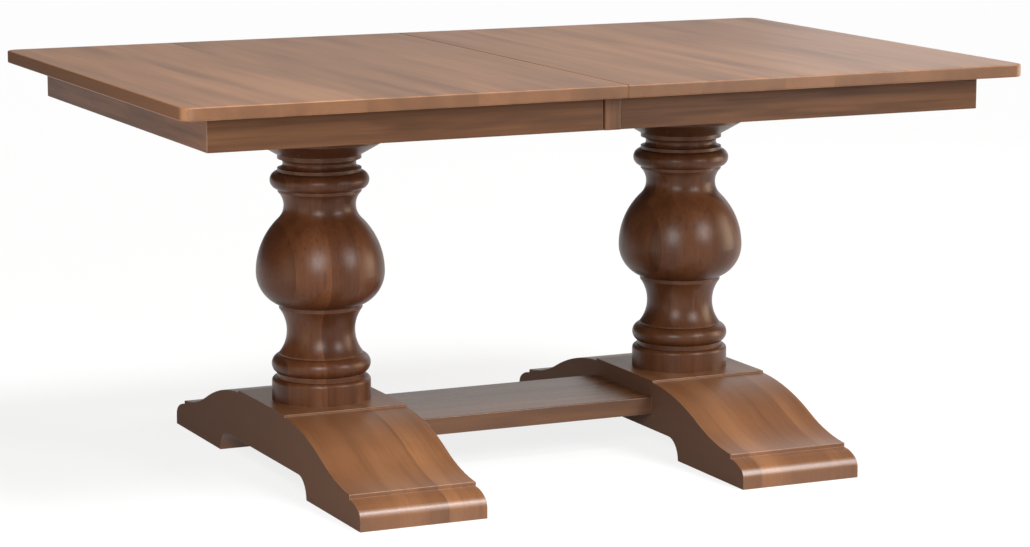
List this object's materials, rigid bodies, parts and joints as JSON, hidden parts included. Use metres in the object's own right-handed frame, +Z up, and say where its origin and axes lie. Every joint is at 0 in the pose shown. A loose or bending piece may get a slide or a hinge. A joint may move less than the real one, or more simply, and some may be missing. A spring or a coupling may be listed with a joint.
{
  "type": "double pedestal dining table",
  "caption": "Pedestal dining table with turned baluster columns on sledge feet, a plank stretcher, and an aproned top that parts in the middle on geared wooden slides.",
  "frame": {"origin": "on the floor, under the middle of the closed top", "axes": "+X along the length of the table towards the right half, -Y towards the front that the picture shows, +Z up"},
  "size_m": [1.6764, 1.0668, 0.7747],
  "materials": {
    "stained_walnut": "satin lacquer over walnut-brown stain",
    "plain_hardwood": "planed and sealed",
    "zinc_steel": "zinc plated",
    "black_nylon": "moulded"
  },
  "bodies": {
    "base": {"column_dowels": "plain_hardwood", "column_screws": "zinc_steel", "front_rail": "plain_hardwood", "left_bearer": "plain_hardwood", "left_column": "stained_walnut", "left_foot": "stained_walnut", "left_tie_rod": "zinc_steel", "pinion_pins": "zinc_steel", "rail_screws": "zinc_steel", "rear_rail": "plain_hardwood", "right_bearer": "plain_hardwood", "right_column": "stained_walnut", "right_foot": "stained_walnut", "right_tie_rod": "zinc_steel", "stretcher": "stained_walnut", "stretcher_bolts": "zinc_steel", "stretcher_dowels": "plain_hardwood", "stretcher_nuts": "zinc_steel", "stretcher_washers": "zinc_steel", "tie_rod_nuts": "zinc_steel", "tie_rod_washers": "zinc_steel"},
    "left_half": {"left_end_apron": "stained_walnut", "left_front_apron": "stained_walnut", "left_front_corner_block": "plain_hardwood", "left_front_rack": "black_nylon", "left_front_runner": "plain_hardwood", "left_glue_blocks": "plain_hardwood", "left_rear_apron": "stained_walnut", "left_rear_corner_block": "plain_hardwood", "left_rear_rack": "black_nylon", "left_rear_runner": "plain_hardwood", "left_runner_screws": "zinc_steel", "left_top": "stained_walnut", "lock_pivots": "zinc_steel", "lock_plates": "zinc_steel"},
    "right_half": {"alignment_pins": "plain_hardwood", "front_apron_block": "stained_walnut", "front_backing_block": "plain_hardwood", "lock_keepers": "zinc_steel", "rear_apron_block": "stained_walnut", "rear_backing_block": "plain_hardwood", "right_end_apron": "stained_walnut", "right_front_apron": "stained_walnut", "right_front_corner_block": "plain_hardwood", "right_front_rack": "black_nylon", "right_front_runner": "plain_hardwood", "right_glue_blocks": "plain_hardwood", "right_rear_apron": "stained_walnut", "right_rear_corner_block": "plain_hardwood", "right_rear_rack": "black_nylon", "right_rear_runner": "plain_hardwood", "right_runner_screws": "zinc_steel", "right_top": "stained_walnut"},
    "front_pinion": {"front_pinion": "black_nylon"},
    "rear_pinion": {"rear_pinion": "black_nylon"},
    "front_lock": {"front_lock_lever": "zinc_steel"},
    "rear_lock": {"rear_lock_lever": "zinc_steel"}
  },
  "joints": [
    {"name": "left_top_slide", "type": "slide", "parent": "base", "child": "left_half", "axis": [-1, 0, 0], "range_m": [0, 0.3048]},
    {"name": "right_top_slide", "type": "slide", "parent": "base", "child": "right_half", "axis": [1, 0, 0], "range_m": [0, 0.3048]},
    {"name": "front_pinion_turn", "type": "hinge", "parent": "base", "child": "front_pinion", "pos_m": [0, -0.17, 0.7392], "axis": [0, 0, 1], "range_deg": [-776.5, 0]},
    {"name": "rear_pinion_turn", "type": "hinge", "parent": "base", "child": "rear_pinion", "pos_m": [0, 0.17, 0.7392], "axis": [0, 0, 1], "range_deg": [0, 776.5]},
    {"name": "front_lock_swing", "type": "hinge", "parent": "left_half", "child": "front_lock", "pos_m": [-0.04025, -0.317, 0.7461], "axis": [0, 0, 1], "range_deg": [0, 100]},
    {"name": "rear_lock_swing", "type": "hinge", "parent": "left_half", "child": "rear_lock", "pos_m": [-0.04025, 0.317, 0.7461], "axis": [0, 0, 1], "range_deg": [-100, 0]}
  ],
  "couplings": [
    {"joint": "right_top_slide", "follows": "left_top_slide", "ratio": 1},
    {"joint": "front_pinion_turn", "follows": "left_top_slide", "rad_per_m": -44.444},
    {"joint": "rear_pinion_turn", "follows": "left_top_slide", "rad_per_m": 44.444}
  ]
}
